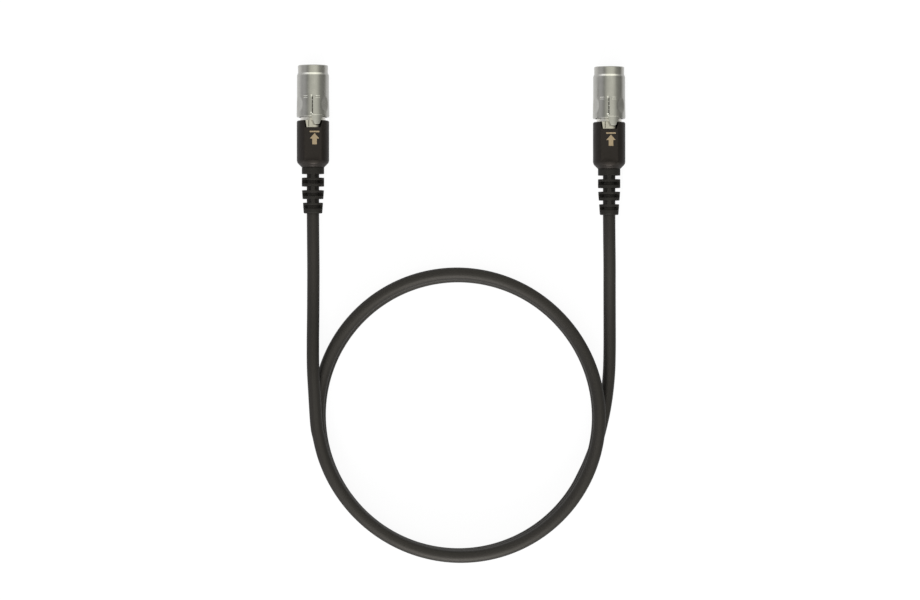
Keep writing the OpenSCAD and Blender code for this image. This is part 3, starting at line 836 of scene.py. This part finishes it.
def hollow(x, back):
    """How deep the windows and the seam's edges lie, x to the right of the seam."""
    left, right, front, rear = SEAM
    deep = 0
    if x <= left and front <= back <= rear:
        deep = -rounded(left - x, SEAM_LIP_REACH, SEAM_LIP)
    for a, b, front, rear, depth in CORNERS:
        if a < x <= b and front < back <= rear:
            deep = depth * (1 - abs(2 * (back - front) / (rear - front) - 1))
    for a, b, front, rear in WINDOWS:
        beyond = max(front - back, back - rear)
        if a < x < b:
            deep = max(deep, WINDOW_DEPTH if beyond < 0 else rounded(beyond, WINDOW_REACH, WINDOW_DROP))
    return deep


def worked(radius, turn, back):
    """The radius of the sleeve, in millimetres, less what dimples, windows and the seam take away."""
    low = radius
    deep = DIMPLE_DEPTH * (1 - (2 * (back - DIMPLE_MID) / DIMPLE_LENGTH) ** 2)
    for middle in DIMPLE_TURNS:
        off = math.cos(math.radians(turn - SLEEVE_TURN - middle))
        if deep > 0 and off > DIMPLE_FACING:
            low = min(low, (radius - deep) / off)
    if abs(turn - SEAM_TURN) < 90:
        low -= hollow(beside_seam(turn, radius), back)
    return low


def beside_seam(turn, radius):
    """How far to the right of the seam's turn a place on the sleeve lies."""
    return radius * math.sin(math.radians(SEAM_TURN - turn))


def turn_at(x, radius, middle=0):
    """The turn of a place that lies x to the right of the turn in the middle."""
    return middle - math.degrees(math.asin(x / radius))


def sleeve_columns(radius):
    """Turns round the sleeve, in degrees from the top toward the left, with one on every edge."""
    across = {SEAM[0], SEAM[1]} | {SEAM[0] - share * SEAM_LIP_REACH for share in ROUNDING_SHARES}
    for a, b, _, _ in WINDOWS:
        across |= {a, a + WALL_STEP, b - WALL_STEP, b}
    for corner in CORNERS:
        across |= {corner[0], corner[0] + WALL_STEP}
    beside = (TONGUE_ROOT[0] - WALL_STEP, TONGUE_ROOT[1] + WALL_STEP)
    edges = {turn_at(x, radius, SEAM_TURN) for x in across}
    edges |= {turn_at(x, radius) for x in (*TONGUE_ROOT, *beside)}
    step = 360 / SLEEVE_COLUMNS
    even = [i * step - 180 for i in range(SLEEVE_COLUMNS)]
    return sorted(edges | {turn for turn in even if all(abs(turn - t) > step / 4 for t in edges)})


def sleeve_rows(sizes, start, end):
    """Rows along the sleeve, in millimetres: back, outer radius, inner radius."""
    outer, rim = sizes.radius / MM, sizes.rear_radius / MM
    inner = outer - sizes.wall / MM
    flare = start + sizes.straight / MM
    front, bore = start - FRONT_REACH, start - FRONT_BORE_REACH
    marks = {front, bore, bore + WALL_STEP, front + FRONT_LENGTH, flare}
    marks |= {end - distance for distance, _ in (*RIM, *TONGUE_RIM)}
    marks |= {SEAM[2] - WALL_STEP, SEAM[2], SEAM[3], SEAM[3] + WALL_STEP}
    for _, _, near, far, _ in CORNERS:
        marks |= {near, (near + far) / 2, far}
    marks |= {LIP_START, LIP_START + WALL_STEP, LIP_END, LIP_END + WALL_STEP}
    near, far = WINDOWS[0][2:]
    marks |= {near + WALL_STEP, far - WALL_STEP}
    for share in ROUNDING_SHARES:
        marks |= {near - share * WINDOW_REACH, far + share * WINDOW_REACH}
    count = round((end - start) / SLEEVE_ROW)
    even = [start + i * (end - start) / count for i in range(count)]
    rows = []
    for z in sorted(marks | {z for z in even if all(abs(z - m) > SLEEVE_ROW / 4 for m in marks)}):
        if z < flare:
            r = outer - FRONT_DROP * max(0, 1 - (z - front) / FRONT_LENGTH)
        else:
            flared = outer + (rim - outer) * (z - flare) / (end - RIM[-1][0] - flare)
            r = min(rim, flared) - between(end - z, RIM)
        hole = inner
        if z <= bore:
            hole = FRONT_BORE
        elif LIP_START + WALL_STEP <= z <= LIP_END:
            hole = LIP_RADIUS
        rows.append((z, r, hole))
    return rows


def in_slot(turn, back, radius):
    """Whether the seam is open there."""
    x = beside_seam(turn, radius)
    a, b, front, rear = SEAM
    return abs(turn - SEAM_TURN) < 90 and a < x < b and front < back < rear


def tongue_rows(end, tongue_end):
    """Rows of the tongue: back, left edge, right edge and how much lower its rounded tip lies."""
    length = tongue_end - end
    backs = {end + share * (length - TONGUE_TIP_ROUNDING) for share in (0.25, 0.5, 0.75, 1)}
    backs |= {tongue_end - share * TONGUE_TIP_ROUNDING for share in ROUNDING_SHARES}
    rows = []
    for back in sorted(backs):
        share = (back - end) / length
        inset = max(0, back - tongue_end + TONGUE_CORNER)
        left = TONGUE_ROOT[0] + share * (TONGUE_TIP[0] - TONGUE_ROOT[0]) + inset
        right = TONGUE_ROOT[1] + share * (TONGUE_TIP[1] - TONGUE_ROOT[1]) - inset
        rows.append((back, left, right, rounded(tongue_end - back, TONGUE_TIP_ROUNDING, TONGUE_TIP_DROP)))
    return rows


def sleeve_mesh(sizes, start, tongue_end, name):
    """The sleeve as one closed shell: a grid of outer and inner points with walls round every opening."""
    start, tongue_end = start / MM, tongue_end / MM
    end = tongue_end - sizes.tongue / MM
    outer = sizes.radius / MM
    inner = outer - sizes.wall / MM
    rows = sleeve_rows(sizes, start, end)
    turns = sleeve_columns(outer)
    whole = len(turns)
    first, last = sorted(turns.index(turn_at(x, outer)) for x in TONGUE_ROOT)
    bm = bmesh.new()

    def place(radius, turn, back):
        a = math.radians(turn)
        return bm.verts.new(MM * Vector((-radius * math.sin(a), radius * math.cos(a), back)))

    grid = []
    cells = set()
    for i, (back, r, s) in enumerate(rows):
        row = []
        for j, turn in enumerate(turns):
            carried = r
            if first <= j <= last and back > end - TONGUE_RIM[-1][0]:
                carried = sizes.rear_radius / MM - between(end - back, TONGUE_RIM)
            row.append((place(worked(carried, turn, back), turn, back), place(s, turn, back)))
        grid.append(row)
        if i < len(rows) - 1:
            middle = (back + rows[i + 1][0]) / 2
            for j, turn in enumerate(turns):
                after = turns[(j + 1) % whole] + (360 if j == whole - 1 else 0)
                if not in_slot((turn + after) / 2, middle, outer):
                    cells.add((i, j))

    # The tongue goes on behind the rim, between columns that draw together
    for n, (back, left, right, drop) in enumerate(tongue_rows(end, tongue_end)):
        row = [None] * whole
        for j in range(first, last + 1):
            x = right + (left - right) * (j - first) / (last - first)
            turn = turn_at(x, outer)
            row[j] = (place(outer - drop, turn, back), place(inner, turn, back))
            if j < last:
                cells.add((len(rows) - 1 + n, j))
        grid.append(row)

    for i, j in cells:
        n = (j + 1) % whole
        corners = (grid[i][j], grid[i][n], grid[i + 1][n], grid[i + 1][j])
        bm.faces.new([c[0] for c in corners])
        bm.faces.new([c[1] for c in reversed(corners)])
        sides = (
            ((i - 1, j), corners[0], corners[1]), ((i, n), corners[1], corners[2]),
            ((i + 1, j), corners[2], corners[3]), ((i, (j - 1) % whole), corners[3], corners[0]),
        )
        for beyond, a, b in sides:
            if beyond not in cells:
                bm.faces.new((a[0], a[1], b[1], b[0]))
    return mesh_from(bm, name, sharp_angle=25)


class LEAD_OT_springs(bpy.types.Operator):
    """Winds the return springs of the sleeves"""

    bl_idname = "lead.springs"
    bl_label = "Return springs"

    def execute(self, context):
        steel = SatinMetal("spring_metal", SPRING_STEEL, 0.22, 0.3, 0.002 * MM).material
        for side in SIDES:
            low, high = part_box(f"{side}_return_spring")
            mesh = spring_mesh(low, high, f"{side}_spring")
            spring = link(mesh, f"{side}_spring", steel)
            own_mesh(spring)
            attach(spring, "root")
            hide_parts(f"{side}_return_spring")
        return {"FINISHED"}


# The spring's wire and the sleeve's travel, in millimetres
SPRING_WIRE, SLEEVE_TRAVEL = 0.5, 1.5
SPRING_TURNS, SPRING_STEPS, SPRING_SIDES = 5, 36, 10
SPRING_STEEL = (0.2, 0.195, 0.185)


def spring_mesh(low, high, name):
    """A spring wound round the Y axis of its box, as a closed tube."""
    wire = SPRING_WIRE * MM / 2
    radius = (high.x - low.x) / 2 - wire
    middle = (low + high) / 2
    run = high.y - low.y - 2 * wire
    count = SPRING_TURNS * SPRING_STEPS
    outward = [
        Vector((math.cos(2 * math.pi * i / SPRING_STEPS), 0, math.sin(2 * math.pi * i / SPRING_STEPS)))
        for i in range(count + 1)
    ]
    line = [
        Vector((middle.x, high.y - wire - run * i / count, middle.z)) + radius * out
        for i, out in enumerate(outward)
    ]
    bm = bmesh.new()
    rings = []
    for i, (centre, out) in enumerate(zip(line, outward)):
        side = heading(line, i).cross(out).normalized()
        turns = [2 * math.pi * k / SPRING_SIDES for k in range(SPRING_SIDES)]
        rings.append([bm.verts.new(centre + wire * (math.cos(t) * out + math.sin(t) * side)) for t in turns])
    skin(bm, rings)
    return mesh_from(bm, name, sharp_angle=60)


class LEAD_OT_mouldings(bpy.types.Operator):
    """Moulds the grips and the slotted strain reliefs with softly rounded edges"""

    bl_idname = "lead.mouldings"
    bl_label = "Grips and strain reliefs"

    def execute(self, context):
        sizes = context.scene.lead_moulding
        plastic = moulded_plastic(sizes.grip_colour)
        rubber = relief_rubber(sizes.relief_colour)
        jobs = (
            ("overmould", "grip", sizes.grip_grain, plastic, "moulded_plastic"),
            ("strain_relief", "relief", sizes.relief_grain, rubber, "relief_rubber"),
        )
        for side in SIDES:
            for node, piece, grain, material, slot in jobs:
                name = f"{side}_{piece}"
                mesh = softened(f"{side}_{node}", grain, name)
                if node == "overmould":
                    round_shoulder(mesh, plug_matrix(side))
                moulding = link(mesh, name, material)
                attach(moulding, "root")
                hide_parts(f"{side}_{node}")
        return {"FINISHED"}


# The grip's flats: their height over the plug's axis, and how near below it a point still counts as on
# them, in millimetres
FLAT_HEIGHT, FLAT_SKIN = 7.155, 0.12
# The round shoulder behind the flats, in millimetres: where it runs, its rounding and the grip's radius
SHOULDER_START, SHOULDER_END, SHOULDER_ORIGIN = 49.45, 53.0, 49.2
SHOULDER_ROUNDING, GRIP_RADIUS = 5.37, 8.4
# Points of the solid closer than this, in metres, are one point, and how often the rounding is repeated
WELD = 1e-6
SOFT_PASSES = 8


def round_shoulder(mesh, place):
    """Lets the shoulder stand round above the ends of the grip's flats."""
    back = place.inverted()
    for vertex in mesh.vertices:
        x, y, z = (back @ vertex.co) / MM
        if SHOULDER_START < z < SHOULDER_END and abs(y) > FLAT_HEIGHT - FLAT_SKIN:
            rise = math.sqrt(SHOULDER_ROUNDING**2 - (z - SHOULDER_ORIGIN) ** 2)
            radius = GRIP_RADIUS - SHOULDER_ROUNDING + rise
            height = math.sqrt(max(0, radius**2 - x**2))
            if height > abs(y):
                vertex.co = place @ (MM * Vector((x, math.copysign(height, y), z)))


def softened(node, grain, name):
    """The CAD solid of a node with its edges rounded by about two grains."""
    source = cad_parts[node]
    bm = bmesh.new()
    bm.from_mesh(source.data)
    bmesh.ops.remove_doubles(bm, verts=bm.verts, dist=WELD)
    mesh = bpy.data.meshes.new(name)
    bm.to_mesh(mesh)
    bm.free()
    copy = bpy.data.objects.new(name, mesh)
    bpy.context.scene.collection.objects.link(copy)
    remesh = copy.modifiers.new("even", "REMESH")
    remesh.mode = "VOXEL"
    remesh.voxel_size = grain
    smooth = copy.modifiers.new("soft", "SMOOTH")
    smooth.factor = 0.5
    smooth.iterations = SOFT_PASSES
    apply_modifiers(copy)
    made = copy.data
    bpy.data.objects.remove(copy)
    made.name = name
    made.materials.clear()
    made.shade_smooth()
    return made


class LEAD_OT_marks(bpy.types.Operator):
    """Prints the arrow and the bar that show which way the plug goes in"""

    bl_idname = "lead.marks"
    bl_label = "Direction marks"

    def execute(self, context):
        sizes = context.scene.lead_moulding
        paint = mark_paint(sizes.mark_colour)
        for side in SIDES:
            mesh = mark_mesh(sizes.mark_height, f"{side}_mark")
            mesh.transform(plug_matrix(side))
            mark = link(mesh, f"{side}_mark", paint)
            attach(mark, "root")
        return {"FINISHED"}


# The direction mark on the grip's flat, in millimetres: across and back, and how far it reaches into it
MARK_SUNK = 0.04
BAR = ((-1.6, 34.3), (3.4, 34.3), (3.4, 35.05), (-1.6, 35.05))
ARROW = (
    (0.9, 35.5), (3.35, 38.3), (2.05, 38.3), (2.05, 41.3), (-0.3, 41.3), (-0.3, 38.3), (-1.55, 38.3),
)


def mark_mesh(height, name):
    """The bar and the arrow as flat plates on the grip's upper flat."""
    bm = bmesh.new()
    for outline in (BAR, ARROW):
        corners = [bm.verts.new(MM * Vector((x, FLAT_HEIGHT - MARK_SUNK, back))) for x, back in outline]
        face = bm.faces.new(corners)
        raised = bmesh.ops.extrude_face_region(bm, geom=[face])["geom"]
        top = [part for part in raised if isinstance(part, bmesh.types.BMVert)]
        bmesh.ops.translate(bm, vec=Vector((0, height + MARK_SUNK * MM, 0)), verts=top)
    return mesh_from(bm, name, sharp_angle=30)


# Colours of the nose shell, the rear shell and the latch band
PLATED, DRAWN, STRIP = (0.64, 0.63, 0.59), (0.69, 0.66, 0.585), (0.5, 0.49, 0.47)
SHELL_ROUNDING = 0.18 * MM


class LEAD_OT_metalwork(bpy.types.Operator):
    """Finishes the pieces that the frame carries: shells, latches, contacts, inserts and conductors"""

    bl_idname = "lead.metalwork"
    bl_label = "Shells and contacts"

    def execute(self, context):
        strip = SatinMetal("latch_metal", STRIP, 0.24, 0.32, 0.002 * MM)
        finishes = {
            "nose_shell": plated_metal(PLATED), "rear_shell": drawn_metal(DRAWN),
            "latch_ring": strip.material, "contact_pins": gold(),
            "insulator": insulator_plastic(), "conductors": wire_insulation(),
        }
        for side in SIDES:
            for piece, material in finishes.items():
                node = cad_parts[f"{side}_{piece}"]
                node.data.materials.clear()
                node.data.materials.append(material)
            round_edges(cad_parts[f"{side}_rear_shell"], SHELL_ROUNDING, 60)
        return {"FINISHED"}


# ---- panel ----

OPERATORS = (
    LEAD_OT_studio, LEAD_OT_jacket, LEAD_OT_sleeves, LEAD_OT_springs, LEAD_OT_mouldings,
    LEAD_OT_marks, LEAD_OT_metalwork,
)
GROUPS = {
    "lead_studio": StudioSizes, "lead_jacket": JacketSizes, "lead_sleeve": SleeveSizes,
    "lead_moulding": MouldingSizes,
}


class LEAD_PT_panel(bpy.types.Panel):
    """Lists the sizes, the colours and the makers of the lead"""

    bl_idname = "LEAD_PT_panel"
    bl_label = "Push-pull lead"
    bl_space_type = "VIEW_3D"
    bl_region_type = "UI"
    bl_category = "Lead"

    def draw(self, context):
        for name in GROUPS:
            group = getattr(context.scene, name)
            box = self.layout.box()
            for key in group.__annotations__:
                box.prop(group, key)
        for operator in OPERATORS:
            self.layout.operator(operator.bl_idname)


def register():
    """Registers the classes and hangs the sizes on the scene."""
    for kind in (*GROUPS.values(), *OPERATORS, LEAD_PT_panel):
        bpy.utils.register_class(kind)
    for name, kind in GROUPS.items():
        setattr(bpy.types.Scene, name, PointerProperty(type=kind))


def unregister():
    """Takes the sizes and the classes away again."""
    for name in GROUPS:
        delattr(bpy.types.Scene, name)
    for kind in reversed((*GROUPS.values(), *OPERATORS, LEAD_PT_panel)):
        bpy.utils.unregister_class(kind)


def main():
    """Makes the whole scene."""
    register()
    bpy.context.scene.view_settings.view_transform = "Standard"
    bpy.ops.lead.studio()
    bpy.ops.lead.jacket()
    bpy.ops.lead.sleeves()
    bpy.ops.lead.springs()
    bpy.ops.lead.mouldings()
    bpy.ops.lead.marks()
    bpy.ops.lead.metalwork()


if __name__ == "__main__":
    main()
